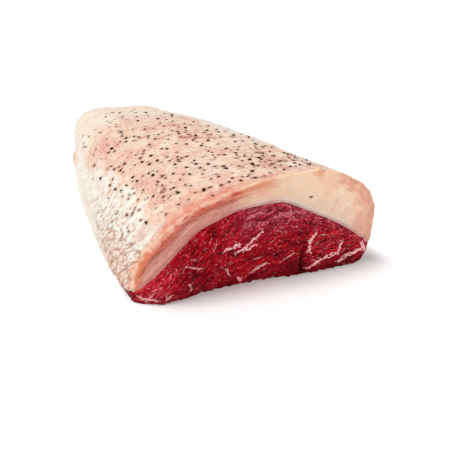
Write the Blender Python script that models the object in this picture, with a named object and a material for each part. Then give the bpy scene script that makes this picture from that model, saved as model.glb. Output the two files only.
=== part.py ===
"""A raw picanha: a whole rump cap of beef, cut across its wide end, lying with its fat side up.

Two solids: the lean muscle, and the fat cap over its top and sides, with cracked black pepper fused to it.
+X runs along the cut face, +Y from the cut face to the narrow tail, and +Z is up. The origin is on the
surface that it lies on, under the middle of its box. Sizes below are in millimetres.
"""

import math
import random

import bmesh
import bpy
from mathutils import Vector, noise

MM = 0.001

# The roast is drawn in a frame of its own, with x = 0 and y = 0 near the left end of the cut face.
# ORIGIN is where the part's origin lies in that frame.
ORIGIN = Vector((72.2, 121.1, 0.0))
LENGTH = 230.5
TAIL_DOME = 11.0
TAIL_FULLNESS = 5.0

# Each row gives five values, evenly spaced from the cut face to the tail.
LEFT_SIDE = (-15.5, -16.0, -11.5, -4.5, 10.5)
RIGHT_SIDE = (161.5, 149.0, 135.0, 117.0, 96.5)
CROWN_X = (104.5, 91.0, 80.0, 69.0, 55.5)
CROWN_HEIGHT = (74.5, 68.5, 64.0, 57.0, 46.5)
LEFT_FULLNESS = (2.25, 2.5, 2.6, 2.9, 4.2)
RIGHT_FULLNESS = (1.95, 2.15, 2.15, 2.4, 2.7)

# How high each side is widest, and how far it tucks in from there to the floor.
LEFT_BELLY, LEFT_TUCK = 8.7, 1.5
RIGHT_BELLY, RIGHT_TUCK = 27.5, 17.0

# The seam between the muscle and the fat, as a height over the floor. Below 0 the fat reaches the floor.
SEAM_CREST_X = (79.0, 74.0, 68.0, 61.0, 52.0)
SEAM_CREST = (58.0, 54.0, 48.0, 38.0, 15.0)
SEAM_LEFT = (5.5, -10.0, -10.0, -8.0, -6.0)
SEAM_RIGHT = (12.0, 11.0, 10.0, 9.0, 8.0)
SEAM_LEFT_POWER, SEAM_RIGHT_POWER = 2.6, 1.28
SEAM_GAP = 0.3

# The cut face leans back and its ends roll round the corners of the roast. Its foot is hollowed.
FACE_LEAN = math.radians(3.6)
FACE_REACH = 45.0
LEFT_ROLL_START, LEFT_ROLL_RADIUS = 6.5, 21.0
RIGHT_ROLL_START, RIGHT_ROLL_RADIUS = 150.0, 21.0
FOOT_HOLLOW, FOOT_HOLLOW_X, FOOT_HOLLOW_HALF, FOOT_HOLLOW_RISE = 4.5, 55.0, 36.0, 14.0
FACE_MIDDLE = (70.0, 26.0)
TAIL_MIDDLE = (50.0, 14.0)
RIM_ROUND = 1.3

# Slow swelling of the soft meat: how far it moves the surface, and over what distance it comes and goes.
# SWELL_APART keeps the swelling along x, y and z unlike one another.
SWELLS = ((1.5, 48.0), (0.8, 19.0))
SWELL_APART = (3.7, 21.3, 44.9)
SWELL_FADE = 12.0

# The crack down the cut face between two muscles, as points (x, z) along it.
CRACK = ((107.0, 37.0), (104.5, 27.0), (102.0, 16.0), (102.5, 7.0), (104.0, -2.0))
CRACK_RADIUS = 1.9

# Scraps of fat that stand up from the cap: place over the skin (t, turn), half sizes and heading.
CURL = (0.003, 84.0, (4.0, 3.0, 2.2), 20.0)
FOLD = (0.775, 166.0, (10.0, 4.6, 4.4), 60.0)

# Cracked black pepper: how far in from the left side, the right side and the ends it lies, and where it
# lies thickest (x, y, reach).
SEED = 41
GRAINS = 205
GRAIN_RADIUS = (0.8, 1.45)
GRAIN_SPACING = 3.8
GRAIN_SUNK = 0.3
PEPPER_IN = (7.0, 32.0, 8.0)
PEPPER_THICK = (62.0, 50.0, 95.0)
PEPPER_THIN_SHARE = 0.2

# The mesh.
STEPS_ALONG = 26
STEPS_OVER = 28
STEPS_TUCK = 3
STEPS_UNDER = 10
FACE_RINGS = 6
TAIL_RINGS = 6
SEAM_ACROSS, SEAM_DOWN = 30, 18


def mix(a, b, share):
    return a + (b - a) * share


def along(values, t):
    """The value at t, from 0 at the cut face to 1 at the tail, on a smooth curve through the values."""
    last = len(values) - 1
    place = min(max(t, 0.0), 1.0) * last
    i = min(int(place), last - 1)
    f = place - i
    before = values[i - 1] if i > 0 else 2 * values[0] - values[1]
    after = values[i + 2] if i + 2 <= last else 2 * values[last] - values[last - 1]
    step = values[i + 1] - values[i]
    slope_in = (values[i + 1] - before) / 2
    slope_out = (after - values[i]) / 2
    curve = f * f * (3 * step - 2 * slope_in - slope_out) + f**3 * (slope_in + slope_out - 2 * step)
    return values[i] + f * slope_in + curve


def over_top(t, turn):
    """The outline at t, as (x, z): a turn of 0 is the right side, pi/2 the crown and pi the left side."""
    crown, height = along(CROWN_X, t), along(CROWN_HEIGHT, t)
    if turn < math.pi / 2:
        side, belly, fullness = along(RIGHT_SIDE, t), RIGHT_BELLY, along(RIGHT_FULLNESS, t)
    else:
        side, belly, fullness = along(LEFT_SIDE, t), LEFT_BELLY, along(LEFT_FULLNESS, t)
    x = crown + (side - crown) * abs(math.cos(turn)) ** (2 / fullness)
    z = belly + (height - belly) * abs(math.sin(turn)) ** (2 / fullness)
    return x, z


def turn_at(x, t):
    """The turn at which the outline at t passes over x."""
    crown = along(CROWN_X, t)
    if x > crown:
        share = ((x - crown) / (along(RIGHT_SIDE, t) - crown)) ** (along(RIGHT_FULLNESS, t) / 2)
        return math.acos(share)
    share = ((crown - x) / (crown - along(LEFT_SIDE, t))) ** (along(LEFT_FULLNESS, t) / 2)
    return math.pi - math.acos(share)


def outline(t):
    """The roast's closed outline across at t, from the right foot over the top to the left foot."""
    left, right = along(LEFT_SIDE, t), along(RIGHT_SIDE, t)
    points = []
    for i in range(STEPS_TUCK):
        turn = math.pi / 2 * i / STEPS_TUCK
        foot = right - RIGHT_TUCK * (1 - math.sin(turn))
        points.append((foot, RIGHT_BELLY * (1 - math.cos(turn))))
    for i in range(STEPS_OVER + 1):
        points.append(over_top(t, math.pi * i / STEPS_OVER))
    for i in range(1, STEPS_TUCK + 1):
        turn = math.pi / 2 * i / STEPS_TUCK
        foot = left + LEFT_TUCK * (1 - math.cos(turn))
        points.append((foot, LEFT_BELLY * (1 - math.sin(turn))))
    start, end = points[-1][0], points[0][0]
    for i in range(1, STEPS_UNDER):
        points.append((mix(start, end, i / STEPS_UNDER), 0.0))
    return points


def seam_height(x, t):
    """The height of the seam between the muscle and the fat."""
    middle, crest = along(SEAM_CREST_X, t), along(SEAM_CREST, t)
    if x < middle:
        share = (middle - x) / (middle - along(LEFT_SIDE, t))
        return crest - (crest - along(SEAM_LEFT, t)) * share**SEAM_LEFT_POWER
    share = (x - middle) / (along(RIGHT_SIDE, t) - middle)
    return crest - (crest - along(SEAM_RIGHT, t)) * share**SEAM_RIGHT_POWER


def pushed_back(x, y, z):
    """How far back a point moves, for the lean of the cut face, its rolled ends and its hollow foot."""
    push = z * math.tan(FACE_LEAN)
    push += max(LEFT_ROLL_START - x, 0.0) ** 2 / (2 * LEFT_ROLL_RADIUS)
    push += max(x - RIGHT_ROLL_START, 0.0) ** 2 / (2 * RIGHT_ROLL_RADIUS)
    across = (x - FOOT_HOLLOW_X) / FOOT_HOLLOW_HALF
    push += FOOT_HOLLOW * math.exp(-(across**4) - (z / FOOT_HOLLOW_RISE) ** 2)
    return push * math.exp(-((y / FACE_REACH) ** 2))


def placed(x, y, z):
    """A point of the finished roast, in millimetres from the part's origin."""
    point = Vector((x, y + pushed_back(x, y, z), z))
    swell = Vector()
    for reach, size in SWELLS:
        at = point / size
        swell += reach * Vector([noise.noise(at + Vector((0.0, 0.0, apart))) for apart in SWELL_APART])
    point += swell * min(max(z / SWELL_FADE, 0.0), 1.0)
    return point - ORIGIN


def skin(t, turn):
    """A point of the roast's skin, from the cut face to the tail."""
    x, z = over_top(t, turn)
    return placed(x, LENGTH * t, z)


def skin_normal(t, turn):
    """The direction straight out of the skin."""
    step = 0.01
    down = skin(t + step, turn) - skin(t - step, turn)
    over = skin(t, turn + step) - skin(t, turn - step)
    return over.cross(down).normalized() * -1


def shrunk(points, middle, share):
    return [(mix(middle[0], x, share), mix(middle[1], z, share)) for x, z in points]


def rings():
    """The closed rings of the roast, from the middle of the cut face to the middle of the tail."""
    cut, tail = outline(0.0), outline(1.0)
    reach = along(CROWN_HEIGHT, 0.0) - FACE_MIDDLE[1]
    rows = []
    for i in range(1, FACE_RINGS + 1):
        share = math.sin(math.pi / 2 * i / FACE_RINGS) * (1 - RIM_ROUND / reach)
        rows.append((0.0, shrunk(cut, FACE_MIDDLE, share)))
    rows.append((RIM_ROUND * 0.3, shrunk(cut, FACE_MIDDLE, 1 - RIM_ROUND * 0.3 / reach)))
    for i in range(STEPS_ALONG + 1):
        t = max(i, 0.2) / STEPS_ALONG
        rows.append((LENGTH * t, outline(t)))
    for i in range(1, TAIL_RINGS):
        turn = math.pi / 2 * i / TAIL_RINGS
        out = math.sin(turn) ** (2 / TAIL_FULLNESS)
        share = math.cos(turn) ** (2 / TAIL_FULLNESS)
        rows.append((LENGTH + TAIL_DOME * out, shrunk(tail, TAIL_MIDDLE, share)))
    return rows


def new_mesh(name, mesh):
    """A mesh datablock from a bmesh, in triangles so that no face is bent, turned outwards."""
    bmesh.ops.triangulate(mesh, faces=mesh.faces)
    bmesh.ops.recalc_face_normals(mesh, faces=mesh.faces)
    data = bpy.data.meshes.new(name)
    mesh.to_mesh(data)
    mesh.free()
    return data


def roast_mesh():
    """The whole roast, lean and fat together, as one closed mesh."""
    mesh = bmesh.new()
    loops = [[mesh.verts.new(placed(x, y, z) * MM) for x, z in ring] for y, ring in rings()]
    for near, far in zip(loops, loops[1:]):
        for i, corner in enumerate(near):
            mesh.faces.new((near[i - 1], corner, far[i], far[i - 1]))
    ends = ((loops[0], FACE_MIDDLE, 0.0), (loops[-1], TAIL_MIDDLE, LENGTH + TAIL_DOME))
    for loop, (x, z), y in ends:
        hub = mesh.verts.new(placed(x, y, z) * MM)
        for i, corner in enumerate(loop):
            mesh.faces.new((hub, loop[i - 1], corner))
    return new_mesh("roast", mesh)


def seam_block(name, gap):
    """All the room under the seam, wider than the roast, with its top raised by the gap."""
    margin, floor, least = 30.0, -20.0, -15.0
    step = 0.5
    mesh = bmesh.new()
    rows = []
    for j in range(SEAM_DOWN + 1):
        y = mix(-margin, LENGTH + TAIL_DOME + margin, j / SEAM_DOWN)
        t = y / (LENGTH + TAIL_DOME)
        row = []
        for i in range(SEAM_ACROSS + 1):
            x = mix(LEFT_SIDE[0] - margin, RIGHT_SIDE[0] + margin, i / SEAM_ACROSS)
            height = seam_height(x, t)
            slope = (seam_height(x + step, t) - height) / step
            z = max(height + gap * math.hypot(1.0, slope), least)
            row.append(mesh.verts.new(placed(x, y, z) * MM))
        rows.append(row)
    for near, far in zip(rows, rows[1:]):
        for i in range(SEAM_ACROSS):
            mesh.faces.new((near[i], near[i + 1], far[i + 1], far[i]))
    rim = [edge for edge in mesh.edges if edge.is_boundary]
    walls = bmesh.ops.extrude_edge_only(mesh, edges=rim)["geom"]
    for corner in walls:
        if isinstance(corner, bmesh.types.BMVert):
            corner.co.z = floor * MM
    bmesh.ops.contextual_create(mesh, geom=[edge for edge in mesh.edges if edge.is_boundary])
    return new_mesh(name, mesh)


def lump_mesh(name, t, turn, radii, heading, sunk, sides):
    """A rounded lump, part sunk in the skin. radii are across it, along it and out of it."""
    out = skin_normal(t, turn)
    mesh = bmesh.new()
    if sides:
        bmesh.ops.create_uvsphere(mesh, u_segments=sides, v_segments=sides // 2, radius=1.0)
    else:
        bmesh.ops.create_icosphere(mesh, subdivisions=1, radius=1.0)
    turned = out.to_track_quat("Z", "Y").to_matrix()
    centre = skin(t, turn) - out * sunk
    c, s = math.cos(heading), math.sin(heading)
    for corner in mesh.verts:
        x, y, z = corner.co.x * radii[0], corner.co.y * radii[1], corner.co.z * radii[2]
        corner.co = (centre + turned @ Vector((x * c - y * s, x * s + y * c, z))) * MM
    return new_mesh(name, mesh)


def pepper_places(draw):
    """Where the grains lie: over the top, each clear of the others, thickest over the middle."""
    from_left, from_right, from_end = PEPPER_IN
    thick_x, thick_y, reach = PEPPER_THICK
    places = []
    points = []
    while len(places) < GRAINS:
        y = draw.uniform(from_end, LENGTH - from_end)
        t = y / LENGTH
        x = draw.uniform(along(LEFT_SIDE, t) + from_left, along(RIGHT_SIDE, t) - from_right)
        near_middle = math.exp(-(((x - thick_x) ** 2 + (y - thick_y) ** 2) / reach**2))
        if draw.random() > mix(PEPPER_THIN_SHARE, 1.0, near_middle):
            continue
        turn = turn_at(x, t)
        point = skin(t, turn)
        if all((point - other).length > GRAIN_SPACING for other in points):
            points.append(point)
            places.append((t, turn))
    return places


def add_pepper(collection):
    """The largest grains of cracked pepper."""
    draw = random.Random(SEED)
    for i, (t, turn) in enumerate(pepper_places(draw)):
        size = mix(*GRAIN_RADIUS, draw.random() ** 1.5)
        radii = (size, size * draw.uniform(0.65, 1.0), size * draw.uniform(0.6, 0.9))
        heading = draw.uniform(0.0, math.tau)
        data = lump_mesh("grain", t, turn, radii, heading, radii[2] * GRAIN_SUNK, 0)
        add_object(f"grain_{i}", data, collection)


def add_scraps(collection):
    for name, (t, turn, radii, heading) in (("curl", CURL), ("fold", FOLD)):
        data = lump_mesh(name, t, math.radians(turn), radii, math.radians(heading), 0.6, 10)
        add_object(name, data, collection)


def crack_mesh():
    """A tapered tube along the crack, half in the cut face."""
    curve = bpy.data.curves.new("crack", "CURVE")
    curve.dimensions = "3D"
    curve.bevel_depth = CRACK_RADIUS * MM
    curve.bevel_resolution = 1
    curve.use_fill_caps = True
    line = curve.splines.new("POLY")
    line.points.add(len(CRACK) - 1)
    for i, (x, z) in enumerate(CRACK):
        line.points[i].co = (*(placed(x, 0.0, z) * MM), 1.0)
        line.points[i].radius = mix(0.5, 1.0, i / (len(CRACK) - 1))
    tube = bpy.data.objects.new("crack_tube", curve)
    data = bpy.data.meshes.new_from_object(tube)
    bpy.data.objects.remove(tube, do_unlink=True)
    return data


def add_object(name, data, collection):
    obj = bpy.data.objects.new(name, data)
    collection.objects.link(obj)
    return obj


def add_boolean(obj, operation, other):
    """Cut or join another object, or all of a collection, and apply it."""
    boolean = obj.modifiers.new(operation.title(), "BOOLEAN")
    boolean.operation = operation
    if isinstance(other, bpy.types.Collection):
        boolean.operand_type = "COLLECTION"
        boolean.collection = other
    else:
        boolean.object = other
    bpy.context.view_layer.objects.active = obj
    bpy.ops.object.modifier_apply(modifier=boolean.name)


def add_material(obj, name, colour, roughness):
    made = bpy.data.materials.new(name)
    made.use_nodes = True
    shader = made.node_tree.nodes["Principled BSDF"]
    shader.inputs["Base Color"].default_value = (*colour, 1.0)
    shader.inputs["Roughness"].default_value = roughness
    obj.data.materials.clear()
    obj.data.materials.append(made)


def new_collection(name):
    made = bpy.data.collections.new(name)
    bpy.context.scene.collection.children.link(made)
    return made


def main():
    for obj in list(bpy.data.objects):
        bpy.data.objects.remove(obj, do_unlink=True)
    parts = new_collection("picanha")
    cutters = new_collection("cutters")
    toppings = new_collection("toppings")

    under_seam = add_object("under_seam", seam_block("under_seam", 0.0), cutters)
    under_fat = add_object("under_fat", seam_block("under_fat", SEAM_GAP), cutters)
    crack = add_object("crack", crack_mesh(), cutters)
    for cutter in (under_seam, under_fat, crack):
        cutter.hide_render = True
        cutter.display_type = "WIRE"
    add_scraps(toppings)
    add_pepper(toppings)

    roast = roast_mesh()
    lean = add_object("lean", roast, parts)
    fat_cap = add_object("fat_cap", roast.copy(), parts)
    add_boolean(lean, "INTERSECT", under_seam)
    add_boolean(lean, "DIFFERENCE", crack)
    add_boolean(fat_cap, "DIFFERENCE", under_fat)
    add_boolean(fat_cap, "UNION", toppings)
    for obj in list(toppings.objects):
        bpy.data.objects.remove(obj, do_unlink=True)
    bpy.data.collections.remove(toppings)

    add_material(lean, "raw_beef", (0.30, 0.012, 0.02), 0.3)
    add_material(fat_cap, "beef_fat", (0.80, 0.58, 0.44), 0.4)
    for obj in (lean, fat_cap):
        obj.data.shade_smooth()
        obj.data.set_sharp_from_angle(angle=math.radians(35))


main()
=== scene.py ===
# A raw picanha on a pale table: the cut face of the lean, the thick fat cap over it, salt and cracked pepper.
import math
import random

import bmesh
import bpy
import numpy as np
from mathutils import Matrix, Vector, noise
from mathutils.bvhtree import BVHTree
from mathutils.kdtree import KDTree

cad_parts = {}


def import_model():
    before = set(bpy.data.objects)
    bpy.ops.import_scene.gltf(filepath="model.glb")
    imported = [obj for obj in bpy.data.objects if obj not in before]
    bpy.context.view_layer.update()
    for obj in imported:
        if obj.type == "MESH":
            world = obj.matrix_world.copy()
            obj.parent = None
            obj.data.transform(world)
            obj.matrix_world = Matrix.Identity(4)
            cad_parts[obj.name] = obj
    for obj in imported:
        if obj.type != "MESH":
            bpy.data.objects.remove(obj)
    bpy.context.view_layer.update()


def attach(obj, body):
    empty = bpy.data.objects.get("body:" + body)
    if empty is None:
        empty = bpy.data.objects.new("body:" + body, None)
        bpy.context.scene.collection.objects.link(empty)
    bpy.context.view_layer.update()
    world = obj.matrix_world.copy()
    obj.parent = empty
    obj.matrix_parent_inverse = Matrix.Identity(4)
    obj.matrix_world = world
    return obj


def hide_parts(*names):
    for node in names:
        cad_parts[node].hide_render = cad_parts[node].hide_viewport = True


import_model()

MM = 0.001

# ---- The roast's dimensions, in millimetres, the same as in the solids. x runs along the cut face, y from
# the cut face to the tail, z up. ORIGIN is the part's origin in this frame. A row of five values runs from
# the cut face to the tail.
ORIGIN = Vector((72.2, 121.1, 0.0))
LENGTH = 230.5
TAIL_DOME = 11.0
TAIL_FULLNESS = 5.0
LEFT_SIDE = (-15.5, -16.0, -11.5, -4.5, 10.5)
RIGHT_SIDE = (161.5, 149.0, 135.0, 117.0, 96.5)
CROWN_X = (104.5, 91.0, 80.0, 69.0, 55.5)
CROWN_HEIGHT = (74.5, 68.5, 64.0, 57.0, 46.5)
LEFT_FULLNESS = (2.25, 2.5, 2.6, 2.9, 4.2)
RIGHT_FULLNESS = (1.95, 2.15, 2.15, 2.4, 2.7)
LEFT_BELLY, LEFT_TUCK = 8.7, 1.5
RIGHT_BELLY, RIGHT_TUCK = 27.5, 17.0
SEAM_CREST_X = (79.0, 74.0, 68.0, 61.0, 52.0)
SEAM_CREST = (58.0, 54.0, 48.0, 38.0, 15.0)
SEAM_LEFT = (5.5, -10.0, -10.0, -8.0, -6.0)
SEAM_RIGHT = (12.0, 11.0, 10.0, 9.0, 8.0)
SEAM_LEFT_POWER, SEAM_RIGHT_POWER = 2.6, 1.28
# The cut face leans back, its ends roll back and its foot is hollow, and that fades out over FACE_REACH.
FACE_LEAN = math.radians(3.6)
FACE_REACH = 45.0
LEFT_ROLL_START, LEFT_ROLL_RADIUS = 6.5, 21.0
RIGHT_ROLL_START, RIGHT_ROLL_RADIUS = 150.0, 21.0
FOOT_HOLLOW, FOOT_HOLLOW_X, FOOT_HOLLOW_HALF, FOOT_HOLLOW_RISE = 4.5, 55.0, 36.0, 14.0
FACE_MIDDLE = np.array((70.0, 26.0))
TAIL_MIDDLE = np.array((50.0, 14.0))
RIM_ROUND = 1.3
# The slow swelling of the whole: how far each swell goes and how big it is.
SWELLS = ((1.5, 48.0), (0.8, 19.0))
SWELL_APART = (3.7, 21.3, 44.9)
SWELL_FADE = 12.0
# The crack runs down the cut face through these points (x, z).
CRACK = ((107.0, 37.0), (104.5, 27.0), (102.0, 16.0), (102.5, 7.0), (104.0, -2.0))

# Two scraps of fat that stand up: a curl at the rim of the cut and a fold on the left flank. Each has its
# place (share of the length, turn in degrees), its reach, width and rise, and the way that it runs.
CURL = (0.003, 84.0)
FOLD = (0.775, 166.0)
SCRAPS = (
    (CURL, (3.2, 2.4, 1.9), (1.0, 0.0, 0.1)),
    (FOLD, (9.5, 3.6, 3.6), (0.15, 0.75, 0.62)),
)

# ---- How finely the pieces are made: counts of steps.
LEAN_ACROSS, LEAN_UP, LEAN_ALONG = 350, 116, 34
FAT_ACROSS, CUT_ROWS, FAT_ALONG = 260, 40, 248
RIM_ROWS, TAIL_ROWS, HIDDEN_COLUMNS = 4, 14, 12
EDGE_STEPS = 120

# ---- Seasoning. The large grains lie where the solids have them, at the same sizes.
SEED = 41
GRAINS, FINE_GRAINS, SALT_GRAINS = 205, 240, 130
GRAIN_RADIUS = (0.8, 1.45)
FINE_RADIUS = (0.35, 0.8)
SALT_RADIUS = (0.2, 0.42)
GRAIN_SPACING = 3.8
GRAIN_SUNK = 0.3
# How far the large grains keep from the left side, the right side and either end, then the finer ones.
PEPPER_IN = (7.0, 32.0, 8.0)
FINE_IN = (4.0, 22.4, 5.0)
SALT_IN = (0.0, 22.4, 5.0)
# Pepper lies thickest round a place (x, y) within a reach, and fine pepper has gathered round two.
PEPPER_THICK = (62.0, 50.0, 95.0)
PEPPER_THIN_SHARE = 0.2
PEPPER_GATHERED = ((94.0, 34.0, 24.0), (4.0, 36.0, 22.0))
# How far round a grain the fat is browned, and how far the brown spreads past the grain's own radius.
BROWNING_REACH, BROWNING_SPREAD = 3.5, 0.5

# ---- Veins that stand out on the cut face. Each starts at a share of the face's width from its left end and
# a share of the seam's height there. It runs for a length, in a direction in degrees, and turns by so many
# degrees on the way; the last value is its width.
VEINS = (
    (0.71, 0.65, 13.0, -120.0, 30.0, 2.4),  # beside the crack
    (0.98, 0.40, 13.0, 135.0, -20.0, 2.0),  # at the right end
    (0.95, 0.60, 22.0, 190.0, 15.0, 2.0),  # from there towards the crack
    (0.83, 0.34, 27.0, 190.0, 10.0, 1.7),
    (0.82, 0.30, 9.0, 60.0, 10.0, 2.0),  # and up from the middle of that
    (0.33, 0.55, 11.0, 20.0, -10.0, 1.8),  # in the middle of the face
    (0.37, 0.48, 24.0, 25.0, 10.0, 1.8),
    (0.40, 0.48, 11.0, 20.0, 0.0, 1.5),
    (0.45, 0.13, 12.0, 35.0, -10.0, 1.8),  # under those, near the foot
    (0.40, 0.10, 4.0, -50.0, 0.0, 1.4),
    (0.34, 0.36, 12.0, -75.0, 20.0, 0.9),
    (0.18, 0.60, 14.0, -25.0, 10.0, 1.0),  # towards the left end
    (0.20, 0.25, 6.0, -60.0, -20.0, 0.9),
    (0.02, 0.50, 10.0, -20.0, 20.0, 1.2),
    (0.11, 0.10, 5.0, 30.0, 0.0, 1.4),
)

# Threads of fat along the fibres: how many, then the ranges of their length, width and strength.
THREADS = (
    (130, (3.0, 7.0), (0.5, 0.9), (0.35, 0.7)),
    (2300, (0.9, 3.2), (0.45, 0.8), (0.15, 0.5)),
)
MARBLING_SEED = 7
STROKES_PER_VEIN = 3

# The three ways that the fibres of the lean run in the cut face, in degrees above level.
FALLING, LEVEL, STEEP = -20.0, 12.0, 42.0

# ---- Patches: how strong each is, then its place and reach along x, then along z (lean) or y (fat).
DEEP_LEAN = (
    (1.0, 97.0, 9.0, 7.0, 9.0),
    (0.8, 27.0, 8.0, 14.0, 6.0),
    (0.8, 132.0, 16.0, 2.0, 4.0),
    (0.6, 72.0, 9.0, 22.0, 5.0),
)
BRUISES = (
    (1.7, 87.0, 7.5, 23.0, 13.0),
    (0.5, 96.0, 9.0, 34.0, 8.0),
    (2.2, 126.0, 8.0, 17.0, 5.0),
    (0.35, 29.0, 9.0, 45.0, 20.0),
    (0.6, 64.0, 12.0, 138.0, 22.0),
    (0.5, 82.0, 11.0, 90.0, 9.0),
    (0.4, 28.0, 8.0, 70.0, 10.0),
    (0.8, 60.0, 9.0, 104.0, 7.0),
    (0.5, 55.0, 14.0, 12.0, 6.0),
)
ROSY_PATCHES = (
    (0.4, -4.0, 9.0, 16.0, 8.0),
    (0.45, 28.0, 14.0, 18.0, 8.0),
    (0.55, 72.0, 13.0, 5.0, 6.0),
)
PALE_PATCHES = (
    (0.5, 52.0, 11.0, 42.0, 17.0),
    (1.1, 100.0, 5.5, 17.0, 8.0),
    (1.1, 125.0, 12.0, 36.0, 13.0),
)

# ---- Lines and wrinkles of the fat.
# An outer and an inner layer meet in the cut face, at this share of the way from seam to skin.
LAYER_SHARE = 0.55
# A long wrinkle over the top, above WRINKLE_FLOOR, is an arc: its centre, radius, and ends in degrees.
WRINKLE_CENTRE, WRINKLE_RADIUS = (96.0, 155.0), 60.0
WRINKLE_ENDS, WRINKLE_POINTS = (-132.0, -75.0), 9
WRINKLE_FLOOR = 50.0
# Wrinkles low on the left flank lean towards the cut as they rise, up to FLANK_TOP.
FLANK_SLANT, FLANK_TOP = 0.64, 32.0
# The marks that say how far along and across the layers and the flank a point lies go from 0 to 1 over this.
BAND_SPAN = 200.0
# A distance that is out of every mark's reach.
FAR = 99.0

# ---- The studio. The camera's place is in the roast's frame; its angles are in degrees.
CAMERA_PLACE = Vector((-133.0, -334.5, 249.7))
CAMERA_TURN, CAMERA_DOWN, CAMERA_ROLL = 27.55, 27.98, 3.785
CAMERA_LENS, CAMERA_SENSOR = 56.1, 36.0
# Each light has a name, the way towards it, its strength, and how wide it looks in degrees.
LIGHTS = (
    ("window", (-0.28, 0.2, 1.0), 1.75, 22.0),
    ("front_fill", (-0.2, -0.9, 0.5), 1.0, 50.0),
)
ROOM_STRENGTH = 0.4
TABLE_SIZE = 6.0


def mix(a, b, share):
    """a at a share of 0 and b at a share of 1."""
    return a + (b - a) * share


def eased(value):
    """0 below 0, 1 above 1, and a smooth rise between."""
    value = np.clip(value, 0.0, 1.0)
    return value * value * (3 - 2 * value)


def past(value, start, over):
    """0 up to the start and 1 from over beyond it, with a smooth rise between."""
    return eased((value - start) / over)


def before(value, end, over):
    """0 from the end on and 1 from over before it, with a smooth fall between."""
    return eased((end - value) / over)


def smooth_noise(points):
    """Smooth noise from -1 to 1 at each point, with lumps about 1 across."""
    return np.array([noise.noise(Vector(p)) for p in points])


# ---- The roast's form ----


def along(values, t):
    """The value at t, from 0 at the cut face to 1 at the tail, on a smooth curve through the values."""
    last = len(values) - 1
    place = min(max(t, 0.0), 1.0) * last
    i = min(int(place), last - 1)
    f = place - i
    before = values[i - 1] if i > 0 else 2 * values[0] - values[1]
    after = values[i + 2] if i + 2 <= last else 2 * values[last] - values[last - 1]
    step = values[i + 1] - values[i]
    slope_in = (values[i + 1] - before) / 2
    slope_out = (after - values[i]) / 2
    curve = f * f * (3 * step - 2 * slope_in - slope_out) + f**3 * (slope_in + slope_out - 2 * step)
    return values[i] + f * slope_in + curve


def over_top(t, turn):
    """The outline at t, as (x, z): a turn of 0 is the right side, pi/2 the crown and pi the left side."""
    crown, height = along(CROWN_X, t), along(CROWN_HEIGHT, t)
    if turn < math.pi / 2:
        side, belly, fullness = along(RIGHT_SIDE, t), RIGHT_BELLY, along(RIGHT_FULLNESS, t)
    else:
        side, belly, fullness = along(LEFT_SIDE, t), LEFT_BELLY, along(LEFT_FULLNESS, t)
    x = crown + (side - crown) * abs(math.cos(turn)) ** (2 / fullness)
    z = belly + (height - belly) * abs(math.sin(turn)) ** (2 / fullness)
    return x, z


def turn_at(x, t):
    """The turn at which the outline at t passes over x."""
    crown = along(CROWN_X, t)
    if x > crown:
        share = ((x - crown) / (along(RIGHT_SIDE, t) - crown)) ** (along(RIGHT_FULLNESS, t) / 2)
        return math.acos(share)
    share = ((crown - x) / (crown - along(LEFT_SIDE, t))) ** (along(LEFT_FULLNESS, t) / 2)
    return math.pi - math.acos(share)


def outline(t):
    """The closed outline at t, from the right foot over the top to the left foot and back along the floor."""
    left, right = along(LEFT_SIDE, t), along(RIGHT_SIDE, t)
    tuck_steps, over_steps, floor_steps = 24, 300, 80
    points = []
    for i in range(tuck_steps):
        turn = math.pi / 2 * i / tuck_steps
        foot = right - RIGHT_TUCK * (1 - math.sin(turn))
        points.append((foot, RIGHT_BELLY * (1 - math.cos(turn))))
    for i in range(over_steps + 1):
        points.append(over_top(t, math.pi * i / over_steps))
    for i in range(1, tuck_steps + 1):
        turn = math.pi / 2 * i / tuck_steps
        foot = left + LEFT_TUCK * (1 - math.cos(turn))
        points.append((foot, LEFT_BELLY * (1 - math.sin(turn))))
    start, end = points[-1][0], points[0][0]
    for i in range(1, floor_steps):
        points.append((mix(start, end, i / floor_steps), 0.0))
    return np.array(points)


def seam_height(x, t):
    """The height of the seam between the muscle and the fat."""
    middle, crest = along(SEAM_CREST_X, t), along(SEAM_CREST, t)
    left = np.clip((middle - x) / (middle - along(LEFT_SIDE, t)), 0.0, None)
    right = np.clip((x - middle) / (along(RIGHT_SIDE, t) - middle), 0.0, None)
    drop = (crest - along(SEAM_LEFT, t)) * left**SEAM_LEFT_POWER
    return crest - drop - (crest - along(SEAM_RIGHT, t)) * right**SEAM_RIGHT_POWER


def evenly(points, steps):
    """The same line with evenly spaced points."""
    reach = np.concatenate(([0.0], np.cumsum(np.linalg.norm(np.diff(points, axis=0), axis=1))))
    at = np.linspace(0.0, reach[-1], steps + 1)
    return np.stack([np.interp(at, reach, points[:, k]) for k in range(points.shape[1])], axis=1)


def section(y, share, middle):
    """The section at y, shrunk to a share about its middle: the lean's underside, the seam and the skin over
    it, each from right to left."""
    loop = outline(y / LENGTH)
    t = y / (LENGTH + TAIL_DOME)
    above = loop[:, 1] - seam_height(loop[:, 0], t)
    up = int(np.argmax(above > 0))
    down = len(loop) - 1 - int(np.argmax(above[::-1] > 0))
    follow = (down + 1) % len(loop)
    right = mix(loop[up - 1], loop[up], above[up - 1] / (above[up - 1] - above[up]))
    left = mix(loop[down], loop[follow], above[down] / (above[down] - above[follow]))
    skin = np.vstack((right, loop[up : down + 1], left))
    under = np.vstack((right, loop[:up][::-1], loop[down + 1 :][::-1], left))
    x = np.linspace(right[0], left[0], 200)
    seam = np.stack((x, seam_height(x, t)), axis=1)
    seam[0], seam[-1] = right, left
    return [mix(middle, line, share) for line in (under, seam, skin)]


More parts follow.
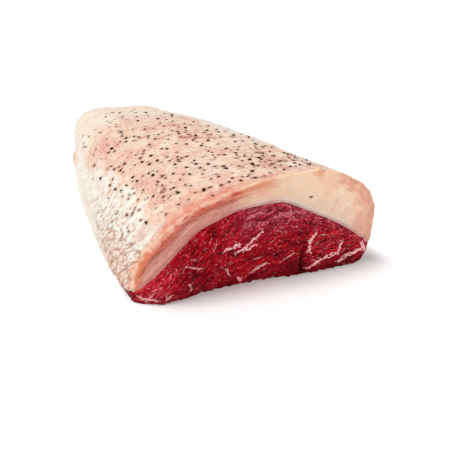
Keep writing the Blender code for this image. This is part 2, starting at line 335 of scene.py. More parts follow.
def pushed_back(x, y, z):
    """How far back a point moves, for the lean of the cut face, its rolled ends and its hollow foot."""
    push = z * math.tan(FACE_LEAN)
    push = push + np.maximum(LEFT_ROLL_START - x, 0.0) ** 2 / (2 * LEFT_ROLL_RADIUS)
    push = push + np.maximum(x - RIGHT_ROLL_START, 0.0) ** 2 / (2 * RIGHT_ROLL_RADIUS)
    across = (x - FOOT_HOLLOW_X) / FOOT_HOLLOW_HALF
    push = push + FOOT_HOLLOW * np.exp(-(across**4) - (z / FOOT_HOLLOW_RISE) ** 2)
    return push * np.exp(-((y / FACE_REACH) ** 2))


def placed(points):
    """Points of the finished roast, from the part's origin, with its slow swelling."""
    points = np.array(points, float)
    points[:, 1] += pushed_back(*points.T)
    swell = np.zeros_like(points)
    for reach, size in SWELLS:
        for axis, apart in enumerate(SWELL_APART):
            swell[:, axis] += reach * smooth_noise(points / size + (0.0, 0.0, apart))
    points += swell * np.clip(points[:, 2:] / SWELL_FADE, 0.0, 1.0)
    return points - ORIGIN


def skin_point(t, turn):
    """The point on the finished skin at a share t of the length and a turn."""
    x, z = over_top(t, turn)
    return placed([(x, LENGTH * t, z)])[0]


# ---- Building a closed piece from rows of points ----


class Shell:
    """The points and faces of one closed piece, in the roast's own frame. Points that meet are one."""

    def __init__(self):
        self.points = []
        self.faces = []
        self.known = {}

    def row(self, line, y):
        """Add a row of points (x, z) at y."""
        return [self.corner(x, y, z) for x, z in line]

    def corner(self, x, y, z):
        """The number of the point there, which is added if it is new."""
        key = (round(float(x), 3), round(float(y), 3), round(float(z), 3))
        if key not in self.known:
            self.known[key] = len(self.points)
            self.points.append(key)
        return self.known[key]

    def face(self, *corners):
        """Add a face, without corners that repeat, if three or more are left."""
        kept = [c for i, c in enumerate(corners) if c != corners[i - 1]]
        if len(set(kept)) == len(kept) > 2:
            self.faces.append(kept)

    def strip(self, near, far):
        """Join two rows of as many points."""
        for i in range(len(near) - 1):
            self.face(near[i], near[i + 1], far[i + 1], far[i])

    def strips(self, rows):
        for near, far in zip(rows, rows[1:]):
            self.strip(near, far)

    def sew(self, many, few):
        """Join a row of many points to a row of few that runs beside it."""
        at = 0
        for i in range(len(many) - 1):
            self.face(many[i], many[i + 1], few[at])
            if (i + 1) * (len(few) - 1) >= (at + 0.5) * (len(many) - 1) and at < len(few) - 1:
                self.face(many[i + 1], few[at + 1], few[at])
                at += 1

    def object(self, name, relief):
        """The finished piece. relief says how far each point stands out, in millimetres."""
        base = placed(self.points)
        data = bpy.data.meshes.new(name)
        data.from_pydata(base * MM, [], self.faces)
        work = bmesh.new()
        work.from_mesh(data)
        bmesh.ops.recalc_face_normals(work, faces=work.faces)
        work.to_mesh(data)
        work.free()
        out = np.zeros(len(base) * 3)
        data.vertices.foreach_get("normal", out)
        out = out.reshape(-1, 3)
        raised = base + out * relief[:, None]
        raised[:, 2] = np.maximum(raised[:, 2], 0.0)
        data.vertices.foreach_set("co", (raised * MM).ravel())
        data.shade_smooth()
        data.update()
        obj = bpy.data.objects.new(name, data)
        bpy.context.scene.collection.objects.link(obj)
        return obj


def body_rings(count):
    """Where the sections lie behind the rim: y, share and the middle that they shrink about."""
    rings = [(y, 1.0, TAIL_MIDDLE) for y in np.linspace(RIM_ROUND, LENGTH, count + 1)]
    for i in range(1, TAIL_ROWS):
        turn = math.pi / 2 * i / TAIL_ROWS
        out = TAIL_DOME * math.sin(turn) ** (2 / TAIL_FULLNESS)
        rings.append((LENGTH + out, math.cos(turn) ** (2 / TAIL_FULLNESS), TAIL_MIDDLE))
    return rings


def rim_rings():
    """The rounded edge of the cut face, from the face outwards."""
    reach = CROWN_HEIGHT[0] - FACE_MIDDLE[1]
    rings = []
    for i in range(RIM_ROWS):
        turn = math.pi / 2 * i / RIM_ROWS
        share = 1 - RIM_ROUND * (1 - math.sin(turn)) / reach
        rings.append((RIM_ROUND * (1 - math.cos(turn)), share, FACE_MIDDLE))
    return rings


def lean_shell():
    """The muscle: a fine cut face, then the underside and the seam side back to the tail."""
    shell = Shell()
    lower, upper = [], []
    for y, share, middle in rim_rings() + body_rings(LEAN_ALONG):
        under, seam, _ = section(y, share, middle)
        lower.append((evenly(under, LEAN_ACROSS), y))
        upper.append((evenly(seam, LEAN_ACROSS), y))
    foot, top = lower[0][0], upper[0][0]
    shell.strips([shell.row(mix(foot, top, k / LEAN_UP), 0.0) for k in range(LEAN_UP + 1)])
    for lines in (lower, upper):
        rows = [shell.row(line, y) for line, y in lines]
        shell.strips(rows)
        tip = shell.corner(TAIL_MIDDLE[0], LENGTH + TAIL_DOME, TAIL_MIDDLE[1])
        shell.strip(rows[-1], [tip] * len(rows[-1]))
    return shell


def fat_shell():
    """The fat cap: a fine cut face and skin, and a coarse hidden side on the muscle."""
    shell = Shell()
    skins, seams = [], []
    for y, share, middle in rim_rings() + body_rings(FAT_ALONG):
        _, seam, skin = section(y, share, middle)
        skins.append((evenly(skin, FAT_ACROSS), y))
        seams.append((seam, y))
    ridge, inner = skins[0][0], evenly(seams[0][0], FAT_ACROSS)
    cut = [shell.row(mix(ridge, inner, k / CUT_ROWS), 0.0) for k in range(CUT_ROWS + 1)]
    shell.strips(cut)
    rows = [shell.row(line, y) for line, y in skins]
    shell.strips(rows)
    tip = shell.corner(TAIL_MIDDLE[0], LENGTH + TAIL_DOME, TAIL_MIDDLE[1])
    shell.strip(rows[-1], [tip] * len(rows[-1]))
    hidden = [shell.row(evenly(line, HIDDEN_COLUMNS), y) for line, y in seams[1:]]
    shell.sew(cut[-1], hidden[0])
    shell.strips(hidden)
    shell.strip(hidden[-1], [tip] * len(hidden[-1]))
    return shell


# ---- Relief and marks on the surfaces ----


def line_distance(x, z, line):
    """How far each point is from a line through points (x, z), and how far along the line its nearest is."""
    best = np.full(len(x), 1e9)
    place = np.zeros(len(x))
    for i, ((ax, az), (bx, bz)) in enumerate(zip(line, line[1:])):
        dx, dz = bx - ax, bz - az
        at = np.clip(((x - ax) * dx + (z - az) * dz) / (dx * dx + dz * dz), 0.0, 1.0)
        away = np.hypot(x - ax - at * dx, z - az - at * dz)
        nearer = away < best
        best[nearer] = away[nearer]
        place[nearer] = (i + at[nearer]) / (len(line) - 1)
    return best, place


def roughly(x, y, z, size, shift=0.0):
    """Smooth noise from -1 to 1 whose lumps are about size across; size may differ along x, y and z."""
    sizes = np.broadcast_to(np.array(size, float), (3,))
    return smooth_noise(np.stack((x, y, z), axis=1) / sizes + shift)


def around(value, middle, reach):
    """1 at the middle, falling softly to nothing at about twice the reach."""
    return np.exp(-(((value - middle) / reach) ** 2))


def fibre_angle(x, z):
    """The way the muscle's fibres run in the cut face: they fan out from left to right."""
    angle = STEEP - 27.0 * past(x, 15.0, 95.0)
    angle = angle - 38.0 * past(x, 50.0, 60.0) * past(z, 22.0, 24.0)
    return np.radians(angle)


def fibres(x, z, length, width, shift):
    """Noise drawn out along the fibres: three straight fields, each used where the fibres run its way."""
    angle = fibre_angle(x, z)
    total = np.zeros(len(x))
    power = np.zeros(len(x))
    for i, degrees in enumerate((FALLING, LEVEL, STEEP)):
        way = math.radians(degrees)
        run = x * math.cos(way) + z * math.sin(way)
        rise = z * math.cos(way) - x * math.sin(way)
        share = around(angle, way, math.radians(20.0))
        total += share * roughly(run / length, rise / width, 0.0 * x + shift, 1.0, 7.3 * i)
        power += share**2
    return total / np.sqrt(power)


def draw_stroke(field, x, z, line, width, strength):
    """Draw a soft stroke into a field of values, along points (x, z)."""
    line = np.array(line, float)
    low, high = line.min(axis=0) - 2 * width, line.max(axis=0) + 2 * width
    near = (x > low[0]) & (x < high[0]) & (z > low[1]) & (z < high[1])
    if near.any():
        away, place = line_distance(x[near], z[near], line)
        taper = 0.5 + 0.5 * np.sin(np.pi * np.clip(place, 0.04, 0.96)) ** 0.7
        value = strength * np.exp(-((away / (0.55 * width * taper)) ** 2))
        field[near] = np.maximum(field[near], value)


def wandering(line, draw, reach):
    """A line through the same points that wanders from side to side between them."""
    line = evenly(np.array(line, float), 5 * (len(line) - 1))
    swerve = np.array([(draw.gauss(0, 1.8 * reach), draw.gauss(0, 1.8 * reach)) for _ in line])
    swerve[1:-1] = (swerve[:-2] + 2 * swerve[1:-1] + swerve[2:]) / 4
    return line + swerve


def fibre_ways(x, z):
    """How far the fibres of the lean run steeply, and how far they fall away to the right, from 0 to 1."""
    degrees = np.degrees(fibre_angle(x, z))
    return past(degrees, 19.0, 16.0), before(degrees, 6.0, 16.0)


def threads(draw, count, lengths, widths, strengths):
    """Short threads of fat along the fibres, as (line, width, strength). They gather in streaks."""
    made = []
    for _ in range(count):
        x, z = draw.uniform(-14.0, 160.0), draw.uniform(0.0, 58.0)
        gathered = noise.noise(Vector((x / 15.0, z / 9.0, 3.0)))
        angle = float(fibre_angle(x, z)) + draw.gauss(0.0, 0.4)
        half = draw.uniform(*lengths) / 2
        bend = draw.gauss(0.0, 0.2) * half
        dx, dz = half * math.cos(angle), half * math.sin(angle)
        side = (x - bend * math.sin(angle), z + bend * math.cos(angle))
        width, strength = draw.uniform(*widths), draw.uniform(*strengths)
        if draw.random() < 0.55 + gathered:
            made.append((((x - dx, z - dz), side, (x + dx, z + dz)), width, strength))
    return made


def twigs(line, width, draw):
    """Short side branches of a vein, as (line, width, strength)."""
    points = evenly(np.array(line, float), 12)
    made = []
    for _ in range(draw.randint(1, 2 + int(2 * width))):
        i = draw.randrange(1, 11)
        ahead = points[i + 1] - points[i - 1]
        way = math.atan2(ahead[1], ahead[0]) + draw.choice((-1, 1)) * draw.uniform(0.4, 1.1)
        length = draw.uniform(1.5, 5.0)
        tip = points[i] + length * np.array((math.cos(way), math.sin(way)))
        twig = wandering((points[i], tip), draw, 0.25)
        made.append((twig, 0.45 * min(width, 1.6), draw.uniform(0.4, 0.8)))
    return made


def turning_line(start, length, way, turn):
    """A line from a start that heads in a direction and turns evenly on its way; both in degrees."""
    steps = 3
    points = [np.array(start)]
    for i in range(steps):
        heading = math.radians(way + turn * i / (steps - 1))
        points.append(points[-1] + length / steps * np.array((math.cos(heading), math.sin(heading))))
    return tuple(points)


def marbling(x, z):
    """How much fat shows at each point of the lean's cut face, from 0 to 1."""
    draw = random.Random(MARBLING_SEED)
    field = np.zeros(len(x))
    strokes = []
    for across, up, length, way, turn, width in VEINS:
        at = mix(LEFT_SIDE[0], RIGHT_SIDE[0], across)
        line = turning_line((at, up * seam_height(at, 0.0)), length, way, turn)
        for _ in range(STROKES_PER_VEIN):
            strength = draw.uniform(0.75, 1.0) * min(1.0, 0.5 + 0.25 * width)
            strokes.append((wandering(line, draw, 0.15 + 0.2 * width), 0.55 * width, strength))
        strokes += twigs(line, width, draw)
    for kind in THREADS:
        strokes += threads(draw, *kind)
    for line, width, strength in strokes:
        draw_stroke(field, x, z, line, width, strength)
    patchy = 0.85 + 0.7 * roughly(x, 0.0 * x, z, 1.6, 4.0) + 0.3 * roughly(x, 0.0 * x, z, 5.0, 14.0)
    return field * patchy


def patches(x, other, spots):
    """Soft patches, each with its strength, its place and reach along x, and those along one other axis."""
    return sum(
        strength * around(x, at_x, reach) * around(other, at_other, other_reach)
        for strength, at_x, reach, at_other, other_reach in spots)


def set_fields(obj, fields):
    """Keep each field of values from 0 to 1 on the object's points, under its name."""
    for name, values in fields.items():
        field = obj.data.attributes.new(name, "FLOAT", "POINT")
        field.data.foreach_set("value", np.clip(values, 0.0, 1.0))


def build_lean():
    """The muscle, with the marbling, the crack and the darker and greyer parts of its cut face."""
    shell = lean_shell()
    x, y, z = np.array(shell.points).T
    face = y < 1e-6
    on_face = eased(1.0 - y / RIM_ROUND)
    crack, down = line_distance(x, z, CRACK)
    open_by = on_face * (0.3 + 0.7 * down)
    marbled, bundles, strands = np.zeros((3, len(x)))
    marbled[face] = marbling(x[face], z[face])
    bundles[face] = fibres(x[face], z[face], 9.0, 2.8, 1.0)
    strands[face] = fibres(x[face], z[face], 3.6, 1.1, 5.0)
    lumps = roughly(x, y, z, 7.0)
    ragged = on_face * eased(1.0 - z / 6.0) * roughly(x, y, z, (3.5, 4.0, 9.0), 6.0)
    relief = on_face * (0.4 * bundles + 0.28 * strands + 0.4 * lumps)
    relief += 1.7 * ragged - 1.7 * around(crack, 0.0, 1.6) * open_by - 1.4 * around(crack, 0.0, 4.5) * open_by
    relief -= 0.5 * around(seam_height(x, 0.0), z, 0.9) * on_face
    relief -= (1 - on_face) * (0.35 + 0.25 * lumps) * (z > 1.0)
    lean = shell.object("lean_muscle", relief)

    upper = past(z, 27.0, 20.0) * past(x, 38.0, 22.0) * before(x, 134.0, 26.0)
    upper = upper * (0.85 + 0.8 * bundles)
    beside = around(seam_height(x, 0.0), z, 5.5) * past(x, 60.0, 30.0) * (0.8 + 0.6 * strands)
    # Silverskin over the upper face and under the seam: its own lilac colour, with pale specks that are
    # painted sheen.
    silverskin_and_sheen = np.maximum(upper, beside)
    # Where pale flecks lie: partly flecks of fat and partly painted wet glints.
    flecks_and_glints = np.maximum(0.75 * silverskin_and_sheen, 0.3 * before(x, 24.0, 20.0) + 0.45 * past(x, 96.0, 14.0))
    flecks_and_glints = np.maximum(0.12 * flecks_and_glints + 0.05 * bundles + 0.03 * strands, 0.0)
    smooth_part = 1.0 - 0.8 * around(x, 128.0, 16.0) * around(z, 8.0, 9.0)
    steep, falling = fibre_ways(x, z)
    set_fields(lean, {
        "marbling": marbled,
        "bundles": 0.5 + 0.5 * bundles,
        "steep": steep,
        "falling": falling,
        # Painted shade: the crack and the face beside it are darkened where shade falls into the groove.
        "crack": around(crack, 0.0, 1.5) * open_by,
        "crack_shade": around(crack, -1.0, 5.0) * open_by,
        "silverskin_and_sheen": silverskin_and_sheen * on_face,
        "deep": on_face * patches(x, z, DEEP_LEAN) * (1.0 + 0.8 * bundles),
        "bright": on_face * before(x, 24.0, 26.0) * (1.0 + 0.8 * strands),
        # Painted shade: the lean darkens towards the floor, where less light reaches its foot.
        "foot": eased(1.0 - z / 15.0),
        "flecks_and_glints": on_face * smooth_part * flecks_and_glints,
    })
    return lean


def beside_scrap(base, place, way):
    """How far each point is from a scrap of fat, along the way that it runs and away from its middle line."""
    t, degrees = place
    away = base - skin_point(t, math.radians(degrees))
    run = away @ (np.array(way) / np.linalg.norm(way))
    return run, np.sqrt(np.maximum((away**2).sum(axis=1) - run**2, 0.0))


class FatSurface:
    """The fat cap's points, with the distances, parts and noise that its relief and its marks are made of."""

    def __init__(self, points):
        x, y, z = self.x, self.y, self.z = np.array(points).T
        self.coarse = roughly(x, y, z, 9.0, 11.0)
        self.medium = roughly(x, y, z, 4.4, 23.0)
        self.fine = roughly(x, y, z, 2.2, 37.0)
        self.on_cut = eased(1.0 - y / RIM_ROUND)
        self.skin = 1.0 - self.on_cut
        self.left_part = before(x, 68.0, 24.0)
        self.right_end = past(x, 134.0, 14.0) * eased(1.0 - y / 14.0)
        _, seam_line, ridge_line = [evenly(line, EDGE_STEPS) for line in section(0.0, 1.0, FACE_MIDDLE)]
        inside, outside = line_distance(x, z, seam_line)[0], line_distance(x, z, ridge_line)[0]
        self.from_ridge = np.where(y < RIM_ROUND, outside, 0.0) + y
        self.from_seam = np.abs(seam_height(x, 0.0) - z) * self.on_cut + FAR * self.skin
        self.find_layers(inside - LAYER_SHARE * (inside + outside))
        self.find_wrinkles()
        base = placed(points)
        self.scraps = [(beside_scrap(base, place, way), form) for place, form, way in SCRAPS]

    def find_layers(self, over):
        """The outer and the inner layer in the left part of the cut face. over is how far out from the line
        between them a point lies."""
        x, y, z = self.x, self.y, self.z
        over = over + 0.9 * roughly(x, y, z, 5.0, 51.0) + 0.5 * roughly(x, y, z, 2.0, 52.0)
        self.over_layer = over
        self.outer = eased(over / 1.5 + 0.5) * self.on_cut * self.left_part
        self.layer = around(over, 0.0, 0.6) * self.on_cut * self.left_part
        self.beside_layer = around(over, 0.0, 2.2) * self.on_cut * self.left_part
        self.streaks = roughly(x / 12.0, over / 1.2, 0.0 * x, 1.0, 13.0)

    def find_wrinkles(self):
        """Wrinkles that follow the cut edge round the left flank. Over the top the skin only crumples, apart
        from one long wrinkle."""
        x, y, z = self.x, self.y, self.z
        self.flank = before(x, 14.0, 26.0) * before(y, 190.0, 120.0)
        self.slanted = y + FLANK_SLANT * np.minimum(z, FLANK_TOP)
        bent = y + 2.2 * roughly(x, y, z, 13.0, 5.0)
        self.wrinkle = roughly((x + z) / 8.0, (self.slanted + bent - y) / 2.7, 0.0 * x, 1.0, 2.0)
        crumple = roughly(x, bent, z, (9.0, 5.0, 9.0), 41.0)
        self.creases = around(self.wrinkle, -0.35, 0.2) * self.flank
        self.creases += 0.5 * around(crumple, 0.0, 0.07) * (1 - self.flank)
        turns = np.radians(np.linspace(*WRINKLE_ENDS, WRINKLE_POINTS))
        arc = WRINKLE_CENTRE + WRINKLE_RADIUS * np.stack((np.cos(turns), np.sin(turns)), axis=1)
        below = FAR * (z < WRINKLE_FLOOR)
        self.long_wrinkle = line_distance(x, y + 1.2 * self.medium, arc)[0] + below
        self.beyond_wrinkle = line_distance(x, y - 2.5, arc)[0] + below

    def relief(self):
        """How far each point stands out, in millimetres."""
        x, y, z, skin, on_cut = self.x, self.y, self.z, self.skin, self.on_cut
        coarse, medium, fine, from_ridge = self.coarse, self.medium, self.fine, self.from_ridge
        nicks = eased(roughly(x, y, z, (4.0, 9.0, 4.0), 61.0) * 2.2 - 0.2)
        nicks = nicks * around(from_ridge, 0.0, 3.5) * self.left_part
        relief = skin * (0.5 * coarse + 0.4 * medium + 0.3 * fine - 0.8 * self.creases * (1 - 0.4 * coarse))
        relief += skin * self.flank * (0.75 * self.wrinkle + 0.35 * fine) - 1.1 * nicks
        trough = 1.2 * around(self.long_wrinkle, 0.0, 1.5)
        relief += skin * (around(self.beyond_wrinkle, 0.0, 2.2) - trough)
        relief += on_cut * (0.2 * coarse + 0.1 * medium + self.left_part * 0.16 * self.streaks)
        relief += 0.7 * self.outer * around(self.over_layer, 3.5, 3.0) - 0.25 * self.layer
        relief += 0.5 * around(from_ridge, 4.0, 3.0) * on_cut * past(x, 118.0, 10.0)
        relief += self.right_end * (1.3 * roughly(x, y, z, (4.0, 6.0, 8.0), 17.0) + 0.5 * medium)
        relief -= 1.1 * around(from_ridge, 0.0, 3.0) * self.left_part
        relief += 0.7 * around(from_ridge, 0.0, 1.3) * past(x, 40.0, 30.0) * before(x, 150.0, 30.0)
        for (run, across), (reach, width, rise) in self.scraps:
            relief += rise * np.exp(-((run / reach) ** 2) - (across / width) ** 2)
        return relief

    def marks_of_layers(self):
        """Marks of the two layers in the left part of the cut face, and of the rim over them, with painted
        highlights along the cut edge.
        """
        x, z, on_cut, outer = self.x, self.z, self.on_cut, self.outer
        medium, streaks, from_ridge = self.medium, self.streaks, self.from_ridge
        ragged = roughly(x, self.y, z, 5.0, 81.0)
        inner = 0.4 * before(x, 92.0, 22.0) + 0.6 * before(x, 66.0, 24.0)
        amber = on_cut * before(x, 86.0, 14.0) * past(x, 8.0, 14.0) * around(from_ridge, 3.0, 4.5)
        orange = on_cut * before(x, 2.0, 10.0) * around(from_ridge, 1.0, 3.5)
        over_lip = around(from_ridge, 0.0, 1.0) * past(x, 38.0, 20.0) * before(x, 132.0, 20.0)
        left_lip = around(from_ridge, 0.0, 1.8) * before(z, 33.0, 8.0) * before(x, -4.0, 6.0)
        return {
            "layer": self.layer * (0.8 + 0.5 * self.coarse),
            "outer": outer * (0.8 + 0.5 * streaks),
            "inner": on_cut * inner * (1 - outer) * (0.85 + 0.4 * streaks),
            "beside_layer": self.beside_layer * (0.8 + 0.5 * streaks),
            "left_cut": self.left_part * on_cut * (0.86 + 0.14 * outer),
            "band_along": (x + z) / BAND_SPAN + 0.2,
            "band_across": self.over_layer / BAND_SPAN + 0.5,
            # Painted highlights on the ragged tips of the cut edge.
            "ridge_highlights": self.left_part * around(from_ridge, 0.8, 1.9) * eased(0.6 + 0.9 * ragged),
            "amber": amber * (0.8 + 0.6 * streaks),
            "orange": orange + self.skin * around(x, -16.0, 6.0) * eased(1.0 - self.y / 7.0),
            # A pale lip along the cut edge: the membrane's own edge, brightened by painted highlight.
            "lip_and_highlight": over_lip * (0.8 + 0.7 * medium) + left_lip * (0.9 + 0.4 * medium),
        }

    def marks_of_cut(self):
        """Marks of the rest of the cut face: beside the lean, along the rim and over the right end."""
        x, y, z, on_cut = self.x, self.y, self.z, self.on_cut
        coarse, medium, from_ridge = self.coarse, self.medium, self.from_ridge
        (curl_run, curl_across), _ = self.scraps[0]
        (fold_run, fold_across), _ = self.scraps[1]
        curl = around(np.hypot(curl_run, curl_across), 0.0, 4.5)
        fold = around(fold_run, 0.0, 9.0) * around(fold_across, 1.5, 2.6)
        right_foot = on_cut * before(z, 40.0, 14.0) * past(x, 126.0, 14.0)
        rind_edge = 8.0 + 2.5 * roughly(x, y, z, 9.0, 95.0)
        rind = on_cut * past(x, 118.0, 10.0) * eased((rind_edge - from_ridge) / 2.5)
        # Painted shade: a darker line along the crease at the rind's edge.
        rind_crease_shade = on_cut * past(x, 122.0, 10.0) * around(from_ridge, rind_edge, 0.8)
        rim = on_cut * around(from_ridge, 5.0, 4.5) * past(x, 96.0, 18.0)
        lines = around(roughly(x, y, z, (7.0, 9.0, 7.0), 71.0), 0.0, 0.06)
        end_lines = around(roughly(x, y, z, (5.0, 9.0, 13.0), 91.0), 0.0, 0.07)
        right_rim = past(x, 118.0, 16.0) * eased(1.0 - y / 16.0) * around(from_ridge, 0.0, 11.0)
        edge_width = mix(1.0, 2.0, before(x, 40.0, 20.0))
        uneven = 0.9 + 0.3 * coarse
        return {
            "cut": on_cut,
            "beside_lean": around(self.from_seam, 0.0, 11.0) * past(x, 60.0, 40.0) * uneven,
            "pale_band": around(self.from_seam, 0.0, 3.4) * past(x, 22.0, 25.0) * uneven,
            "lean_edge": around(self.from_seam, 0.0, edge_width) * (0.8 + 0.4 * medium),
            "blotch": on_cut * around(x, 66.0, 7.0) * around(from_ridge, 2.2, 1.7) + curl * on_cut,
            "rim": rim * (0.55 + 0.5 * coarse + 0.4 * medium),
            "lines": on_cut * lines * past(x, 96.0, 30.0),
            "rind": rind * (0.7 + 0.6 * medium),
            "rind_crease_shade": rind_crease_shade * eased(0.4 + coarse),
            "end_lines": right_rim * end_lines,
            "film": self.right_end * (0.75 + 0.5 * medium) + 0.8 * fold + 0.5 * right_foot,
            "spot": on_cut * around(x, 105.0, 1.6) * around(z, 57.0, 0.9),
        }

    def marks_of_skin(self):
        """Marks of the skin over the top and down the flank: flushed, bruised, pale and wrinkled parts, a
        white shoulder that is partly painted highlight, and painted shade in the creases and along the long
        wrinkle.
        """
        x, y, z, skin, creases = self.x, self.y, self.z, self.skin, self.creases
        coarse, medium, fine = self.coarse, self.medium, self.fine
        flushed = 0.35 + 0.7 * roughly(x, y, z, 26.0, 8.0) + 0.45 * coarse + 0.3 * medium
        flushed -= 0.6 * past(x, 80.0, 20.0) * past(y, 36.0, 20.0)
        rosy = around(y, 0.0, 9.0) * before(x, 66.0, 20.0) * past(x, -4.0, 12.0)
        rosy += patches(x, y, ROSY_PATCHES)
        pale = 0.85 * past(x, 78.0, 18.0) * past(y, 60.0, 34.0) + patches(x, y, PALE_PATCHES)
        pale += 0.5 * before(x, 0.0, 8.0) * around(y, 52.0, 42.0)
        # The white over the shoulder and down the flank: partly white, dry fat and partly painted highlight
        # where the shoulder faces the light.
        high = eased((z - 22.0 + 7.0 * coarse + 3.0 * medium) / 14.0)
        white_to = 1.0 - 3.0 * past(y, 20.0, 100.0) + 2.0 * around(y, 13.0, 13.0)
        white = high * eased((white_to - x) / 16.0 + 0.45 + 0.5 * coarse + 0.25 * medium)
        white = white * past(y, 3.0, 7.0) * (1 - 0.4 * past(y, 95.0, 45.0))
        white += (1 - high) * 0.85 * eased((y - 42.0 + 18.0 * coarse) / 50.0) * before(x, 30.0, 24.0)
        # Paler towards the tail: partly cream fat and partly a painted glow where the far edge meets the
        # bright room.
        cream = eased((y - 158.0 + 18.0 * before(x, 20.0, 20.0)) / 45.0)
        foot = eased(1.1 - z / 16.0 + 0.3 * coarse) * before(y, 75.0, 40.0) * before(x, 10.0, 20.0)
        return {
            "flushed": skin * flushed,
            "rosy": skin * rosy * (0.9 + 0.5 * medium),
            "bruise": skin * patches(x, y, BRUISES) * (0.9 + 0.7 * medium + 0.6 * fine),
            "pale": skin * pale * (0.85 + 0.4 * coarse),
            "white": skin * white * (0.95 + 0.25 * medium - 0.3 * creases),
            "cream": skin * cream * (0.7 + 0.3 * before(x, 30.0, 30.0) + 0.2 * coarse),
            "foot": skin * foot,
            # Painted shade in the creases.
            "creases": skin * creases * (0.4 + 0.6 * self.flank),
            # Painted shade in the trough of the long wrinkle.
            "long_wrinkle": skin * around(self.long_wrinkle, 0.0, 1.7) * (0.8 + 0.5 * fine),
            "flank": skin * self.flank,
            "flank_across": self.slanted / BAND_SPAN,
        }


def build_fat():
    """The fat cap, with its layers, its wrinkles and its pink, white and yellow parts."""
    shell = fat_shell()
    surface = FatSurface(shell.points)
    fat = shell.object("fat_cap_skin", surface.relief())
    for marks in (surface.marks_of_layers(), surface.marks_of_cut(), surface.marks_of_skin()):
        set_fields(fat, marks)
    return fat


# ---- Seasoning ----


def nearness(x, y, spot):
    """1 at a spot (x, y, reach), falling softly to nothing at about twice the reach."""
    spot_x, spot_y, reach = spot
    return math.exp(-(((x - spot_x) ** 2 + (y - spot_y) ** 2) / reach**2))


def thickness_of_pepper(x, y):
    """How thickly the pepper lies, from 0 to 1."""
    return mix(PEPPER_THIN_SHARE, 1.0, nearness(x, y, PEPPER_THICK))


def gathered_pepper(x, y):
    """How much fine pepper has gathered, by the cut on the right and on the left shoulder, from 0 to 1."""
    return max(nearness(x, y, spot) for spot in PEPPER_GATHERED)


def spot_within(draw, margins):
    """A place drawn over the top, within its margins: the share of the length, x and y."""
    from_left, from_right, from_end = margins
    y = draw.uniform(from_end, LENGTH - from_end)
    t = y / LENGTH
    return t, draw.uniform(along(LEFT_SIDE, t) + from_left, along(RIGHT_SIDE, t) - from_right), y


def large_grains():
    """The places, sizes and headings of the large grains, the same as in the solids."""
    draw = random.Random(SEED)
    points = []
    while len(points) < GRAINS:
        t, x, y = spot_within(draw, PEPPER_IN)
        if draw.random() > thickness_of_pepper(x, y):
            continue
        point = skin_point(t, turn_at(x, t))
        if all(np.linalg.norm(point - other) > GRAIN_SPACING for other in points):
            points.append(point)
    grains = []
    for point in points:
        size = mix(*GRAIN_RADIUS, draw.random() ** 1.5)
        radii = (size, size * draw.uniform(0.65, 1.0), size * draw.uniform(0.6, 0.9))
        grains.append((point, radii, draw.uniform(0.0, math.tau)))
    return grains


def small_grains(draw, count, radius, margins, thins_out):
    """Places, sizes and headings for finer grains over the top."""
    grains = []
    while len(grains) < count:
        t, x, y = spot_within(draw, margins)
        if thins_out and draw.random() > thickness_of_pepper(x, y) * (0.25 + gathered_pepper(x, y)):
            continue
        size = mix(*radius, draw.random() ** 2)
        radii = (size, size * draw.uniform(0.6, 1.0), size * draw.uniform(0.5, 0.9))
        grains.append((skin_point(t, turn_at(x, t)), radii, draw.uniform(0.0, math.tau)))
    return grains


def brown_round_grains(surface, grains):
    """Mark the fat brown round each grain, fading out past the grain's own radius."""
    tree = KDTree(len(surface.data.vertices))
    for i, corner in enumerate(surface.data.vertices):
        tree.insert(corner.co, i)
    tree.balance()
    values = np.zeros(len(surface.data.vertices))
    for point, radii, _ in grains:
        _, _, offset = tree.find(Vector(point) * MM)
        for _, i, away in tree.find_range(Vector(point) * MM, BROWNING_REACH * MM):
            values[i] = max(values[i], math.exp(-(((away - offset) / MM / (radii[0] + BROWNING_SPREAD)) ** 2)))
    set_fields(surface, {"browned_round_grains": values})


def add_grains(name, surface, grains, draw, rough):
    """Broken grains on a surface, as one mesh with a shade of its own for each grain."""
    tree = BVHTree.FromObject(surface, bpy.context.evaluated_depsgraph_get())
    work = bmesh.new()
    shade = work.verts.layers.float.new("shade")
    for point, radii, heading in grains:
        spot, out, _, _ = tree.find_nearest(Vector(point) * MM)
        centre = spot - out * radii[2] * GRAIN_SUNK * MM
        turned = out.to_track_quat("Z", "Y").to_matrix() @ Matrix.Rotation(heading, 3, "Z")
        corners = bmesh.ops.create_icosphere(work, subdivisions=2, radius=1.0)["verts"]
        shift = Vector((draw.uniform(0, 90), draw.uniform(0, 90), 0))
        own_shade = draw.random()
        for corner in corners:
            uneven = 1.0 + rough * noise.noise(corner.co * 1.4 + shift)
            local = Vector([co * radius for co, radius in zip(corner.co, radii)]) * uneven
            corner.co = centre + turned @ local * MM
            corner[shade] = own_shade
    data = bpy.data.meshes.new(name)
    work.to_mesh(data)
    work.free()
    obj = bpy.data.objects.new(name, data)
    bpy.context.scene.collection.objects.link(obj)
    return obj


# ---- Materials ----


def hex_colour(code):
    """A colour given as sRGB hex, in linear light."""
    levels = [int(code[i : i + 2], 16) / 255 for i in (1, 3, 5)]
    return (*[v / 12.92 if v <= 0.04045 else ((v + 0.055) / 1.055) ** 2.4 for v in levels], 1.0)


def new_material(name):
    """An empty material and its nodes."""
    made = bpy.data.materials.new(name)
    made.use_nodes = True
    made.node_tree.nodes.clear()
    return made, made.node_tree


def add_node(tree, kind, inputs=None, **settings):
    """Add a node with its settings. Each input is a value, or a node whose usual output feeds it."""
    made = tree.nodes.new("ShaderNode" + kind)
    for name, value in settings.items():
        setattr(made, name, value)
    for name, value in (inputs or {}).items():
        if isinstance(value, bpy.types.Node):
            tree.links.new(value.outputs[OUTPUT_OF.get(value.bl_idname, 0)], made.inputs[name])
        else:
            made.inputs[name].default_value = value
    return made


